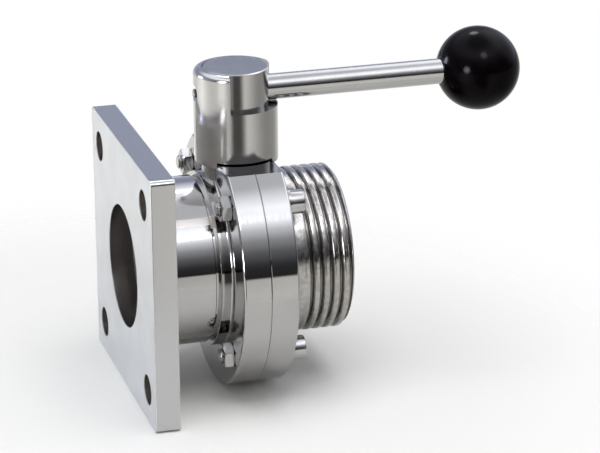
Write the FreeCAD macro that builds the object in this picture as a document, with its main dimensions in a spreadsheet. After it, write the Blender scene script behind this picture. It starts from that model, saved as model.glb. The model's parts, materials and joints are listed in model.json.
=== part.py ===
import FreeCAD, Part
import math
import os

import Sketcher

# Sanitary butterfly valve with a square flange on one side and a round-thread
# male end on the other. Millimetres. The pipe axis is X, from the flange's outer
# face towards the thread, and the stem axis is parallel to Z. The valve is open.

document = FreeCAD.newDocument("butterfly_valve")
sheet = document.addObject("Spreadsheet::Sheet", "Sizes")
sizes = {
    # square flange
    "plate_side": 108,
    "plate_thickness": 10.4,
    "plate_corner": 2,
    "plate_edge": 0.5,
    "mount_spacing": 80,
    "mount_hole": 13,
    # flow path and the spigots that centre the pipe ends
    "flow_bore": 52,
    "spigot_wall": 4,
    "spigot_depth": 4,
    "joint_gap": 0.05,
    # pipe stub between the flange and the body
    "stub_outside": 70.7,
    "stub_length": 20.9,
    # two-piece body
    "groove_width": 1.6,
    "groove_depth": 1.15,
    "hub_step": 1.65,
    "hub_length": 5,
    "hub_fillet": 1,
    "half_thickness": 11.7,
    "body_outside": 108,
    "flat_cut": 9.2,
    "boss_outside": 29.4,
    "boss_overlap": 3,
    "neck_outside": 22,
    "neck_length": 11.2,
    "rim_rounding": 1,
    "split_chamfer": 0.3,
    # seat ring between the halves
    "seat_width": 14,
    "seat_wall": 7,
    "seat_step": 1.1,
    "seat_land": 9,
    "seat_gap": 0.05,
    # bolts through both halves
    "bolt_over_hub": 8.4,
    "bolt_diameter": 6,
    "bolt_gap": 0.3,
    "head_outside": 10,
    "head_height": 6,
    "socket_flats": 5,
    "socket_depth": 3,
    "nut_flats": 10,
    "nut_height": 4.4,
    "hex_turn": 22.5,
    "thread_over_nut": 1.6,
    "washer_outside": 12,
    "washer_thickness": 1.6,
    # disc and stem, one piece
    "disc_gap": 0.3,
    "disc_thickness": 7,
    "disc_edge": 3,
    "disc_flat": 20,
    "disc_hub": 15,
    "disc_hub_step": 0.5,
    "stem_diameter": 12,
    "stem_square": 8.4,
    "square_in_web": 3,
    "running_gap": 0.05,
    # stem bushes and seal ring
    "bush_outside": 16,
    "bush_step": 5,
    "lower_bore_wall": 7,
    "lower_bush_step": 1,
    "seal_cord": 2,
    "seal_groove_depth": 0.95,
    "seal_groove_width": 2.6,
    "seal_step": 2.5,
    "seal_gap": 0.05,
    # handle sleeve, fixed on the neck
    "sleeve_outside": 35,
    "sleeve_gap": 0.6,
    "saddle_depth": 2.4,
    "saddle_gap": 0.1,
    "sleeve_rounding": 2.7,
    "web_thickness": 4,
    "web_gap": 0.3,
    "ledge_gap": 0.4,
    "window_gap": 1,
    "slot_height": 6.6,
    "screw_diameter": 5,
    "screw_length": 6,
    "screw_drop": 5,
    "screw_angle": 30,
    # handle core, turns inside the sleeve
    "core_outside": 27.5,
    "core_gap": 0.1,
    "core_seat_gap": 0.2,
    "core_chamfer": 0.4,
    "socket_gap": 0.05,
    "socket_roof": 0.5,
    "lever_rise": 12,
    "core_over_lever": 10.3,
    # pull lever
    "lever_bore": 10,
    "lever_bore_wall": 4.75,
    "rod_diameter": 10.8,
    "rod_recess_depth": 2.85,
    "ball_reach": 106,
    "ball_diameter": 35.6,
    "ball_flat": 12.6,
    "tail_diameter": 3.8,
    "tail_stand_out": 0.6,
    "piston_length": 3.5,
    "spindle_diameter": 5,
    "spindle_length": 24,
    "spring_wire": 0.9,
    "spring_outside": 8.8,
    "spring_pitch": 2.1,
    "lever_bush_length": 5.2,
    "knob_stud": 8,
    "knob_stud_length": 13,
    "insert_outside": 10.4,
    "insert_length": 15,
    # threaded end
    "thread_outside": 70,
    "thread_pitch": 4.233,
    "thread_depth": 2.1,
    "crest_count": 5,
    "thread_start": 6.6,
    "thread_runout": 3.75,
    "end_chamfer": 1.6,
    "gasket_wall": 2.9,
    "gasket_depth": 2.5,
}

# places along the pipe and the stem, and diameters, that follow from the sizes above
stations = {
    "spigot_outside": "=flow_bore + 2 * spigot_wall",
    "stub_end": "=plate_thickness + stub_length",
    "groove_outside": "=stub_outside - 2 * groove_depth",
    "hub_outside": "=stub_outside + 2 * hub_step",
    "hub_start": "=stub_end + groove_width",
    "face_start": "=hub_start + hub_length",
    "split_plane": "=face_start + half_thickness",
    "face_end": "=split_plane + half_thickness",
    "bolt_circle": "=hub_outside + 2 * bolt_over_hub",
    "bolt_hole": "=bolt_diameter + 2 * bolt_gap",
    "seat_outside": "=flow_bore + 2 * seat_wall",
    "seat_bore": "=flow_bore - 2 * seat_step",
    "disc_outside": "=seat_bore - 2 * disc_gap",
    "boss_foot": "=seat_outside / 2 - boss_overlap",
    "seal_height": "=seat_outside / 2 + seal_step",
    "seal_groove_root": "=stem_diameter - 2 * seal_groove_depth",
    "seal_bore": "=seal_groove_root + 2 * seal_cord + 2 * seal_gap",
    "bush_foot": "=seat_outside / 2 + bush_step",
    "lower_bush_head": "=seat_outside / 2 + lower_bush_step",
    "lower_bore_depth": "=body_outside / 2 - lower_bore_wall",
    "flat_height": "=body_outside / 2 - flat_cut",
    "neck_top": "=flat_height + neck_length",
    "saddle_roof": "=flat_height + sleeve_gap",
    "sleeve_foot": "=saddle_roof - saddle_depth",
    "screw_height": "=neck_top - screw_drop",
    "core_foot": "=neck_top + web_thickness + core_seat_gap",
    "square_foot": "=core_foot - square_in_web",
    "lever_height": "=core_foot + lever_rise",
    "socket_top": "=lever_height - lever_bore / 2 - socket_roof",
    "sleeve_top": "=lever_height + core_over_lever",
    "ledge_height": "=lever_height - rod_diameter / 2 - ledge_gap",
    "window_side": "=rod_diameter / 2 + window_gap",
    "rod_recess": "=rod_diameter + 2 * core_gap",
    "rod_recess_floor": "=core_outside / 2 - rod_recess_depth",
    "lever_bore_end": "=core_outside / 2 - lever_bore_wall",
    "ball_flat_reach": "=ball_reach - sqrt((ball_diameter / 2) ^ 2 - (ball_flat / 2) ^ 2)",
    "first_crest": "=face_end + thread_start + thread_pitch / 2",
    "end_face": "=first_crest + (crest_count - 1) * thread_pitch + thread_runout",
    "gasket_recess": "=thread_outside - 2 * thread_depth - 2 * gasket_wall",
}

for row, (name, content) in enumerate({**sizes, **stations}.items(), start=1):
    sheet.set("A%d" % row, name)
    sheet.set("B%d" % row, str(content))
    sheet.setAlias("B%d" % row, name)
document.recompute()


def vector(x, y, z=0):
    return FreeCAD.Vector(x, y, z)


def value(text):
    return float(sheet.evalExpression(text))


def newBody(label):
    body = document.addObject("PartDesign::Body", label)
    body.Label = label
    return body


def originPart(body, role):
    return next(item for item in body.Origin.OriginFeatures if item.Role == role)


def newSketch(body, role, height=None, turned=None):
    # a sketch on one of the body's own planes, lifted or turned about Z by expressions
    sketch = body.newObject("Sketcher::SketchObject", "Sketch")
    sketch.AttachmentSupport = [(originPart(body, role), "")]
    sketch.MapMode = "FlatFace"
    if turned is not None:
        sketch.AttachmentOffset = FreeCAD.Placement(vector(0, 0), FreeCAD.Rotation(vector(0, 1), 1))
        sketch.setExpression("AttachmentOffset.Rotation.Angle", turned)
    if height is not None:
        sketch.setExpression("AttachmentOffset.Base.z", height)
    return sketch


def pin(sketch, element, point, x, y):
    # holds one point of the sketch at a pair of expressions
    for kind, text in (("DistanceX", x), ("DistanceY", y)):
        rule = Sketcher.Constraint(kind, -1, 1, element, point, value(text))
        index = sketch.addConstraint(rule)
        sketch.setExpression("Constraints[%d]" % index, text)


def outline(sketch, corners):
    # a closed outline through corners, each a pair of expressions
    first = sketch.GeometryCount
    count = len(corners)
    spots = [vector(value(x), value(y)) for x, y in corners]
    for index in range(count):
        sketch.addGeometry(Part.LineSegment(spots[index], spots[(index + 1) % count]))
    for index in range(count):
        following = first + (index + 1) % count
        sketch.addConstraint(Sketcher.Constraint("Coincident", first + index, 2, following, 1))
    for index, (x, y) in enumerate(corners):
        pin(sketch, first + index, 1, x, y)


def circle(sketch, x, y, diameter):
    spot = vector(value(x), value(y))
    element = sketch.addGeometry(Part.Circle(spot, vector(0, 0, 1), value(diameter) / 2))
    pin(sketch, element, 3, x, y)
    index = sketch.addConstraint(Sketcher.Constraint("Diameter", element, value(diameter)))
    sketch.setExpression("Constraints[%d]" % index, diameter)


def halfDisc(sketch, x, diameter, side):
    # half of a disc about (x, 0), on the side of smaller x (-1) or larger x (+1)
    radius = value(diameter) / 2
    centre = vector(value(x), 0)
    start = math.radians(90 if side < 0 else -90)
    whole = Part.Circle(centre, vector(0, 0, 1), radius)
    arc = sketch.addGeometry(Part.ArcOfCircle(whole, start, start + math.pi))
    ends = [vector(centre.x, radius * sign) for sign in ((-1, 1) if side < 0 else (1, -1))]
    chord = sketch.addGeometry(Part.LineSegment(ends[0], ends[1]))
    sketch.addConstraint(Sketcher.Constraint("Coincident", arc, 2, chord, 1))
    sketch.addConstraint(Sketcher.Constraint("Coincident", chord, 2, arc, 1))
    sketch.addConstraint(Sketcher.Constraint("Vertical", chord))
    sketch.addConstraint(Sketcher.Constraint("PointOnObject", arc, 3, chord))
    pin(sketch, arc, 3, x, "0")
    index = sketch.addConstraint(Sketcher.Constraint("Radius", arc, radius))
    sketch.setExpression("Constraints[%d]" % index, "%s / 2" % diameter)


def hexagon(sketch, x, y, flats, turned="0"):
    # the first corner points along the sketch's X axis, or is turned from it
    reach = "%s / 2 / cos(30)" % flats
    angles = ["(%d + %s)" % (angle, turned) for angle in range(0, 360, 60)]
    outline(sketch, [("%s + %s * cos%s" % (x, reach, angle), "%s + %s * sin%s" % (y, reach, angle))
                     for angle in angles])


def turn(body, sketch, axis, kind="PartDesign::Revolution", angle=360, backwards=False):
    feature = body.newObject(kind, "Turned")
    feature.Profile = sketch
    feature.ReferenceAxis = (sketch, [axis])
    feature.Angle = angle
    feature.Reversed = backwards
    document.recompute()
    return feature


def turnedCut(body, sketch, axis, angle=360, backwards=False):
    return turn(body, sketch, axis, "PartDesign::Groove", angle, backwards)


def pad(body, sketch, length, backwards=False):
    feature = body.newObject("PartDesign::Pad", "Pad")
    feature.Profile = sketch
    feature.setExpression("Length", length)
    feature.Reversed = backwards
    document.recompute()
    return feature


def pocket(body, sketch, length=None, upwards=False, bothWays=False):
    # a cut along the sketch's normal (upwards) or against it, through all without a length
    before = body.Shape.Volume
    feature = body.newObject("PartDesign::Pocket", "Pocket")
    feature.Profile = sketch
    if length is None:
        feature.Type = "ThroughAll"
    else:
        feature.setExpression("Length", length)
    if bothWays:
        feature.SideType = "Symmetric"
    feature.Reversed = upwards
    document.recompute()
    if body.Shape.Volume > before - 1e-3:
        raise RuntimeError("a pocket of %s cuts nothing" % body.Label)
    return feature


def polarCopies(body, feature, role, count):
    pattern = body.newObject("PartDesign::PolarPattern", "Pattern")
    pattern.Originals = [feature]
    pattern.Axis = (originPart(body, role), [""])
    pattern.Angle = 360
    pattern.Occurrences = count
    body.Tip = pattern
    document.recompute()


def dress(body, kind, amount, wanted):
    # fillets or chamfers the edges that the test picks out
    names = ["Edge%d" % (index + 1) for index, edge in enumerate(body.Shape.Edges) if wanted(edge)]
    if not names:
        raise RuntimeError("no edge of %s to dress" % body.Label)
    base = body.Tip
    feature = body.newObject("PartDesign::" + kind, kind)
    feature.Base = (base, names)
    feature.setExpression("Radius" if kind == "Fillet" else "Size", amount)
    document.recompute()


def isCircle(edge, radius, x=None, z=None):
    # a whole circle or arc of this radius, in the plane at x or at height z
    if not isinstance(edge.Curve, Part.Circle) or abs(edge.Curve.Radius - radius) > 1e-4:
        return False
    spot = edge.Curve.Center
    return (x is None or abs(spot.x - x) < 1e-4) and (z is None or abs(spot.z - z) < 1e-4)


def place(item, x=None, y=None, z=None):
    for axis, text in (("x", x), ("y", y), ("z", z)):
        if text is not None:
            item.setExpression("Placement.Base.%s" % axis, text)


def mirrored(item, normal):
    copy = document.addObject("Part::Mirroring", "Mirrored")
    copy.Source = item
    copy.Normal = normal
    return copy


def fourOf(item, label):
    # the piece in one quarter, and its copies in the other three
    pair = document.addObject("Part::Compound", "Pair")
    pair.Links = [item, mirrored(item, vector(0, 1))]
    document.recompute()
    group = document.addObject("Part::Compound", label)
    group.Label = label
    group.Links = [pair, mirrored(pair, vector(0, 0, 1))]
    return group


def makeSquareFlange():
    body = newBody("square_flange")
    half = "Sizes.plate_side / 2"
    sketch = newSketch(body, "YZ_Plane")
    outline(sketch, [("-" + half, "-" + half), (half, "-" + half), (half, half), ("-" + half, half)])
    pad(body, sketch, "Sizes.plate_thickness")
    thickness = value("Sizes.plate_thickness")
    dress(body, "Fillet", "Sizes.plate_corner",
          lambda edge: abs(edge.Length - thickness) < 1e-6 and edge.BoundBox.XLength > thickness - 1e-6)
    dress(body, "Fillet", "Sizes.plate_edge", lambda edge: edge.BoundBox.XLength < 1e-6)
    sketch = newSketch(body, "YZ_Plane")
    circle(sketch, "0", "0", "Sizes.flow_bore")
    pocket(body, sketch, upwards=True)
    sketch = newSketch(body, "YZ_Plane", "Sizes.plate_thickness - Sizes.spigot_depth")
    circle(sketch, "0", "0", "Sizes.spigot_outside + 2 * Sizes.joint_gap")
    pocket(body, sketch, upwards=True)
    sketch = newSketch(body, "YZ_Plane")
    circle(sketch, "Sizes.mount_spacing / 2", "Sizes.mount_spacing / 2", "Sizes.mount_hole")
    hole = pocket(body, sketch, upwards=True)
    polarCopies(body, hole, "X_Axis", 4)
    return body


def makeFlangeStub():
    body = newBody("flange_stub")
    sketch = newSketch(body, "XZ_Plane")
    seat = "Sizes.plate_thickness - Sizes.spigot_depth"
    outline(sketch, [
        (seat, "Sizes.flow_bore / 2"),
        ("Sizes.stub_end", "Sizes.flow_bore / 2"),
        ("Sizes.stub_end", "Sizes.stub_outside / 2"),
        ("Sizes.plate_thickness", "Sizes.stub_outside / 2"),
        ("Sizes.plate_thickness", "Sizes.spigot_outside / 2"),
        (seat, "Sizes.spigot_outside / 2"),
    ])
    turn(body, sketch, "H_Axis")
    radius = value("Sizes.stub_outside / 2")
    dress(body, "Chamfer", "Sizes.split_chamfer",
          lambda edge: isCircle(edge, radius, x=value("Sizes.stub_end")))
    return body


def cutStemSeats(body):
    # bores for the stem's seal ring and bushes, and the pocket of the seat ring
    sketch = newSketch(body, "XZ_Plane")
    edge = "Sizes.seat_width / 2"
    outline(sketch, [
        ("Sizes.split_plane - " + edge, "0"),
        ("Sizes.split_plane + " + edge, "0"),
        ("Sizes.split_plane + " + edge, "Sizes.seat_outside / 2"),
        ("Sizes.split_plane - " + edge, "Sizes.seat_outside / 2"),
    ])
    turnedCut(body, sketch, "H_Axis")
    for diameter, foot in (("Sizes.seal_bore", "0"), ("Sizes.bush_outside", "Sizes.bush_foot")):
        sketch = newSketch(body, "XY_Plane", foot)
        circle(sketch, "Sizes.split_plane", "0", diameter)
        pocket(body, sketch, upwards=True)
    sketch = newSketch(body, "XY_Plane")
    circle(sketch, "Sizes.split_plane", "0", "Sizes.bush_outside")
    pocket(body, sketch, "Sizes.lower_bore_depth")


def makeBodyHalf(label, side, profile, bore):
    # one half of the body: a turned ring, a flat on top, half of the stem boss and neck
    body = newBody(label)
    sketch = newSketch(body, "XZ_Plane")
    outline(sketch, profile)
    turn(body, sketch, "H_Axis")
    rim = value("Sizes.body_outside / 2")
    split = value("Sizes.split_plane")
    outer = value("Sizes.face_start" if side < 0 else "Sizes.face_end")
    dress(body, "Fillet", "Sizes.rim_rounding", lambda edge: isCircle(edge, rim, x=outer))
    dress(body, "Chamfer", "Sizes.split_chamfer", lambda edge: isCircle(edge, rim, x=split))
    if side < 0:
        hub = value("Sizes.hub_outside / 2")
        start = value("Sizes.hub_start")
        dress(body, "Fillet", "Sizes.hub_fillet", lambda edge: isCircle(edge, hub, x=outer))
        dress(body, "Chamfer", "Sizes.split_chamfer", lambda edge: isCircle(edge, hub, x=start))
    sketch = newSketch(body, "XZ_Plane")
    far = "Sizes.split_plane + %d * (Sizes.half_thickness + 1)" % side
    near = "Sizes.split_plane - %d" % side
    outline(sketch, [
        (near, "Sizes.flat_height"),
        (far, "Sizes.flat_height"),
        (far, "Sizes.body_outside"),
        (near, "Sizes.body_outside"),
    ])
    pocket(body, sketch, bothWays=True)
    for diameter, top in (("Sizes.boss_outside", "Sizes.flat_height"), ("Sizes.neck_outside", "Sizes.neck_top")):
        sketch = newSketch(body, "XY_Plane", "Sizes.boss_foot")
        halfDisc(sketch, "Sizes.split_plane", diameter, side)
        pad(body, sketch, "%s - Sizes.boss_foot" % top)
    cutStemSeats(body)
    sketch = newSketch(body, "YZ_Plane", bore)
    reach = "Sizes.bolt_circle / 2 * cos(45)"
    circle(sketch, reach, reach, "Sizes.bolt_hole")
    hole = pocket(body, sketch, upwards=True)
    polarCopies(body, hole, "X_Axis", 4)
    return body


def makeFlangeSideBody():
    bore = "Sizes.flow_bore / 2"
    return makeBodyHalf("flange_side_body", -1, [
        ("Sizes.stub_end", bore),
        ("Sizes.split_plane", bore),
        ("Sizes.split_plane", "Sizes.body_outside / 2"),
        ("Sizes.face_start", "Sizes.body_outside / 2"),
        ("Sizes.face_start", "Sizes.hub_outside / 2"),
        ("Sizes.hub_start", "Sizes.hub_outside / 2"),
        ("Sizes.hub_start", "Sizes.groove_outside / 2"),
        ("Sizes.stub_end", "Sizes.groove_outside / 2"),
    ], "Sizes.stub_end")


def makeThreadSideBody():
    seat = "Sizes.face_end - Sizes.spigot_depth"
    socket = "Sizes.spigot_outside / 2 + Sizes.joint_gap"
    body = makeBodyHalf("thread_side_body", 1, [
        ("Sizes.split_plane", "Sizes.flow_bore / 2"),
        (seat, "Sizes.flow_bore / 2"),
        (seat, socket),
        ("Sizes.face_end", socket),
        ("Sizes.face_end", "Sizes.body_outside / 2"),
        ("Sizes.split_plane", "Sizes.body_outside / 2"),
    ], "Sizes.split_plane - 1")
    # the stem boss is relieved round the threaded end
    sketch = newSketch(body, "YZ_Plane", "Sizes.face_end")
    circle(sketch, "0", "0", "Sizes.thread_outside + 2 * Sizes.joint_gap")
    pocket(body, sketch, upwards=True)
    return body


def makeThreadedEnd():
    body = newBody("threaded_end")
    sketch = newSketch(body, "XZ_Plane")
    seat = "Sizes.face_end - Sizes.spigot_depth"
    crest = "Sizes.thread_outside / 2"
    root = "Sizes.thread_outside / 2 - Sizes.thread_depth"
    outline(sketch, [
        (seat, "Sizes.flow_bore / 2"),
        ("Sizes.end_face - Sizes.gasket_depth", "Sizes.flow_bore / 2"),
        ("Sizes.end_face - Sizes.gasket_depth", "Sizes.gasket_recess / 2"),
        ("Sizes.end_face", "Sizes.gasket_recess / 2"),
        ("Sizes.end_face", crest + " - Sizes.end_chamfer"),
        ("Sizes.end_face - Sizes.end_chamfer", crest),
        ("Sizes.face_end", crest),
        ("Sizes.face_end", "Sizes.spigot_outside / 2"),
        (seat, "Sizes.spigot_outside / 2"),
    ])
    turn(body, sketch, "H_Axis")
    # one valley of the thread, then its copies along the pipe
    sketch = newSketch(body, "XZ_Plane")
    middle = "Sizes.first_crest + Sizes.thread_pitch / 2"
    half = "Sizes.thread_pitch / 4"
    lean = "Sizes.thread_depth / 2 * tan(15)"
    outline(sketch, [
        ("%s - %s + %s" % (middle, half, lean), root),
        ("%s + %s - %s" % (middle, half, lean), root),
        ("%s + %s + %s" % (middle, half, lean), crest),
        ("%s + Sizes.thread_pitch / 3" % middle, crest + " + 1"),
        ("%s - Sizes.thread_pitch / 3" % middle, crest + " + 1"),
        ("%s - %s - %s" % (middle, half, lean), crest),
    ])
    valley = turnedCut(body, sketch, "H_Axis")
    pattern = body.newObject("PartDesign::LinearPattern", "Valleys")
    pattern.Originals = [valley]
    pattern.Direction = (originPart(body, "X_Axis"), [""])
    pattern.Mode = "Spacing"
    pattern.setExpression("Offset", "Sizes.thread_pitch")
    pattern.setExpression("Occurrences", "Sizes.crest_count - 1")
    body.Tip = pattern
    document.recompute()
    return body


def makeSeatSeal():
    body = newBody("seat_seal")
    sketch = newSketch(body, "XZ_Plane")
    side = "(Sizes.seat_width / 2 - Sizes.seat_gap)"
    outer = "Sizes.seat_outside / 2 - Sizes.seat_gap"
    split = "Sizes.split_plane"
    outline(sketch, [
        ("%s - %s" % (split, side), "Sizes.flow_bore / 2"),
        (split + " - Sizes.seat_land / 2", "Sizes.seat_bore / 2"),
        (split + " + Sizes.seat_land / 2", "Sizes.seat_bore / 2"),
        ("%s + %s" % (split, side), "Sizes.flow_bore / 2"),
        ("%s + %s" % (split, side), outer),
        ("%s - %s" % (split, side), outer),
    ])
    turn(body, sketch, "H_Axis")
    sketch = newSketch(body, "XY_Plane")
    circle(sketch, split, "0", "Sizes.stem_diameter + 2 * Sizes.running_gap")
    pocket(body, sketch, bothWays=True)
    return body


def makeValveDisc():
    body = newBody("valve_disc")
    # the stem with its hub and the groove of the seal ring
    sketch = newSketch(body, "XZ_Plane")
    stem = "Sizes.stem_diameter / 2"
    hub = "Sizes.disc_hub / 2"
    # the hub's ends stay inside the sphere that the disc's rim sweeps
    hubEnd = "(sqrt((Sizes.disc_outside / 2) ^ 2 - (Sizes.disc_hub / 2) ^ 2) - Sizes.disc_hub_step)"
    foot = "-(Sizes.lower_bore_depth - Sizes.core_seat_gap)"
    low = "Sizes.seal_height - Sizes.seal_groove_width / 2"
    high = "Sizes.seal_height + Sizes.seal_groove_width / 2"
    outline(sketch, [
        ("0", foot),
        (stem, foot),
        (stem, "-%s" % hubEnd),
        (hub, "-%s" % hubEnd),
        (hub, hubEnd),
        (stem, hubEnd),
        (stem, low),
        ("Sizes.seal_groove_root / 2", low),
        ("Sizes.seal_groove_root / 2", high),
        (stem, high),
        (stem, "Sizes.square_foot"),
        ("0", "Sizes.square_foot"),
    ])
    turn(body, sketch, "V_Axis")
    # the disc, thinner towards its rim
    sketch = newSketch(body, "XY_Plane")
    rim = "Sizes.disc_outside / 2"
    edge = "Sizes.disc_edge / 2"
    face = "Sizes.disc_thickness / 2"
    outline(sketch, [
        ("0", "-" + face),
        ("Sizes.disc_flat / 2", "-" + face),
        (rim, "-" + edge),
        (rim, edge),
        ("Sizes.disc_flat / 2", face),
        ("0", face),
    ])
    turn(body, sketch, "V_Axis")
    sketch = newSketch(body, "XY_Plane", "Sizes.square_foot")
    half = "Sizes.stem_square / 2"
    outline(sketch, [("-" + half, "-" + half), (half, "-" + half), (half, half), ("-" + half, half)])
    pad(body, sketch, "Sizes.socket_top - Sizes.core_gap - Sizes.square_foot")
    place(body, x="Sizes.split_plane")
    return body


def makeBush(label, foot, top):
    body = newBody(label)
    sketch = newSketch(body, "XZ_Plane")
    inner = "Sizes.stem_diameter / 2 + Sizes.running_gap"
    outer = "Sizes.bush_outside / 2 - Sizes.joint_gap"
    outline(sketch, [(inner, foot), (outer, foot), (outer, top), (inner, top)])
    turn(body, sketch, "V_Axis")
    place(body, x="Sizes.split_plane")
    return body


def makeSealRing():
    ring = document.addObject("Part::Torus", "stem_seal_ring")
    ring.Label = "stem_seal_ring"
    ring.setExpression("Radius1", "(Sizes.seal_groove_root + Sizes.seal_bore) / 4")
    ring.setExpression("Radius2", "Sizes.seal_cord / 2")
    place(ring, x="Sizes.split_plane", z="Sizes.seal_height")
    return ring


def makeHandleSleeve():
    body = newBody("handle_sleeve")
    sketch = newSketch(body, "XZ_Plane")
    neck = "Sizes.neck_outside / 2 + Sizes.joint_gap"
    core = "Sizes.core_outside / 2 + Sizes.core_gap"
    web = "Sizes.neck_top + Sizes.web_thickness"
    skirt = "Sizes.boss_outside / 2 + Sizes.web_gap"
    outline(sketch, [
        (skirt, "Sizes.sleeve_foot"),
        ("Sizes.sleeve_outside / 2", "Sizes.sleeve_foot"),
        ("Sizes.sleeve_outside / 2", "Sizes.sleeve_top"),
        (core, "Sizes.sleeve_top"),
        (core, web),
        ("Sizes.stem_diameter / 2 + Sizes.web_gap", web),
        ("Sizes.stem_diameter / 2 + Sizes.web_gap", "Sizes.neck_top"),
        (neck, "Sizes.neck_top"),
        (neck, "Sizes.saddle_roof"),
        (skirt, "Sizes.saddle_roof"),
    ])
    turn(body, sketch, "V_Axis")
    radius = value("Sizes.sleeve_outside / 2")
    dress(body, "Fillet", "Sizes.sleeve_rounding",
          lambda edge: isCircle(edge, radius, z=value("Sizes.sleeve_top")))
    # the saddle, a slot across the foot that sits over both halves and keeps the sleeve from turning
    sketch = newSketch(body, "XY_Plane", "Sizes.sleeve_foot")
    side = "(Sizes.half_thickness + Sizes.saddle_gap)"
    outline(sketch, [
        ("-" + side, "-Sizes.sleeve_outside"),
        (side, "-Sizes.sleeve_outside"),
        (side, "Sizes.sleeve_outside"),
        ("-" + side, "Sizes.sleeve_outside"),
    ])
    pocket(body, sketch, "Sizes.saddle_depth", upwards=True)
    # the window that the lever turns in
    sketch = newSketch(body, "XY_Plane", "Sizes.ledge_height")
    outline(sketch, [
        ("-Sizes.window_side", "-Sizes.sleeve_outside"),
        ("Sizes.sleeve_outside", "-Sizes.sleeve_outside"),
        ("Sizes.sleeve_outside", "Sizes.window_side"),
        ("-Sizes.window_side", "Sizes.window_side"),
    ])
    pocket(body, sketch, upwards=True)
    # the quarter-turn slot that the lever's tail runs in, with round ends
    sketch = newSketch(body, "XZ_Plane")
    low = "Sizes.lever_height - Sizes.slot_height / 2"
    high = "Sizes.lever_height + Sizes.slot_height / 2"
    outline(sketch, [
        ("-Sizes.sleeve_outside", low),
        ("-Sizes.core_outside / 2 + 1", low),
        ("-Sizes.core_outside / 2 + 1", high),
        ("-Sizes.sleeve_outside", high),
    ])
    turnedCut(body, sketch, "V_Axis", 90, backwards=True)
    sketch = newSketch(body, "YZ_Plane")
    circle(sketch, "0", "Sizes.lever_height", "Sizes.slot_height")
    pocket(body, sketch)
    sketch = newSketch(body, "XZ_Plane")
    circle(sketch, "0", "Sizes.lever_height", "Sizes.slot_height")
    pocket(body, sketch)
    for sign in ("", "-"):
        sketch = newSketch(body, "XZ_Plane", turned="%sSizes.screw_angle" % sign)
        circle(sketch, "0", "Sizes.screw_height", "Sizes.screw_diameter")
        pocket(body, sketch)
    place(body, x="Sizes.split_plane")
    return body


def makeSleeveScrews():
    # two grub screws behind the handle, one against each half of the neck
    screws = []
    for sign in ("", "-"):
        screw = newBody("GrubScrew")
        sketch = newSketch(screw, "XZ_Plane", "-Sizes.neck_outside / 2")
        circle(sketch, "0", "Sizes.screw_height", "Sizes.screw_diameter - 2 * Sizes.joint_gap")
        pad(screw, sketch, "Sizes.screw_length", backwards=True)
        screw.Placement = FreeCAD.Placement(vector(0, 0), FreeCAD.Rotation(vector(0, 0, 1), 1))
        screw.setExpression("Placement.Rotation.Angle", "%sSizes.screw_angle" % sign)
        place(screw, x="Sizes.split_plane")
        screws.append(screw)
    group = document.addObject("Part::Compound", "sleeve_screws")
    group.Label = "sleeve_screws"
    group.Links = screws
    return group


def makeHandleCore():
    body = newBody("handle_core")
    sketch = newSketch(body, "XZ_Plane")
    outer = "Sizes.core_outside / 2"
    outline(sketch, [
        ("0", "Sizes.core_foot"),
        (outer, "Sizes.core_foot"),
        (outer, "Sizes.sleeve_top"),
        ("0", "Sizes.sleeve_top"),
    ])
    turn(body, sketch, "V_Axis")
    radius = value(outer)
    dress(body, "Chamfer", "Sizes.core_chamfer", lambda edge: isCircle(edge, radius))
    for diameter, floor in (
        ("Sizes.lever_bore", "-Sizes.lever_bore_end"),
        ("Sizes.rod_recess", "Sizes.rod_recess_floor"),
    ):
        sketch = newSketch(body, "YZ_Plane", floor)
        circle(sketch, "0", "Sizes.lever_height", diameter)
        pocket(body, sketch, upwards=True)
    sketch = newSketch(body, "YZ_Plane")
    circle(sketch, "0", "Sizes.lever_height", "Sizes.tail_diameter + 2 * Sizes.core_gap")
    pocket(body, sketch)
    sketch = newSketch(body, "XY_Plane", "Sizes.core_foot")
    half = "(Sizes.stem_square / 2 + Sizes.socket_gap)"
    outline(sketch, [("-" + half, "-" + half), (half, "-" + half), (half, half), ("-" + half, half)])
    pocket(body, sketch, "Sizes.socket_top - Sizes.core_foot", upwards=True)
    place(body, x="Sizes.split_plane")
    return body


def makeOnLever(label, corners):
    # a turned piece on the lever's axis, its X measured from the stem axis
    body = newBody(label)
    sketch = newSketch(body, "XZ_Plane")
    outline(sketch, corners)
    turn(body, sketch, "H_Axis")
    place(body, x="Sizes.split_plane", z="Sizes.lever_height")
    return body


pistonBack = "(-Sizes.lever_bore_end + Sizes.core_gap)"
pistonFront = "(-Sizes.lever_bore_end + Sizes.core_gap + Sizes.piston_length)"
bushFront = "(Sizes.rod_recess_floor - Sizes.core_gap)"
bushBack = "(Sizes.rod_recess_floor - Sizes.core_gap - Sizes.lever_bush_length)"
spindleEnd = "(-Sizes.lever_bore_end + Sizes.core_gap + Sizes.piston_length + Sizes.spindle_length)"
rodStart = "(Sizes.rod_recess_floor + Sizes.core_gap)"


def makeLeverPlunger():
    tip = "-Sizes.sleeve_outside / 2 - Sizes.tail_stand_out"
    return makeOnLever("lever_plunger", [
        (tip, "0"),
        (tip, "Sizes.tail_diameter / 2 - Sizes.core_chamfer"),
        (tip + " + Sizes.core_chamfer", "Sizes.tail_diameter / 2"),
        (pistonBack, "Sizes.tail_diameter / 2"),
        (pistonBack, "Sizes.lever_bore / 2 - Sizes.core_gap"),
        (pistonFront, "Sizes.lever_bore / 2 - Sizes.core_gap"),
        (pistonFront, "Sizes.spindle_diameter / 2"),
        (spindleEnd, "Sizes.spindle_diameter / 2"),
        (spindleEnd, "0"),
    ])


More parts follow.
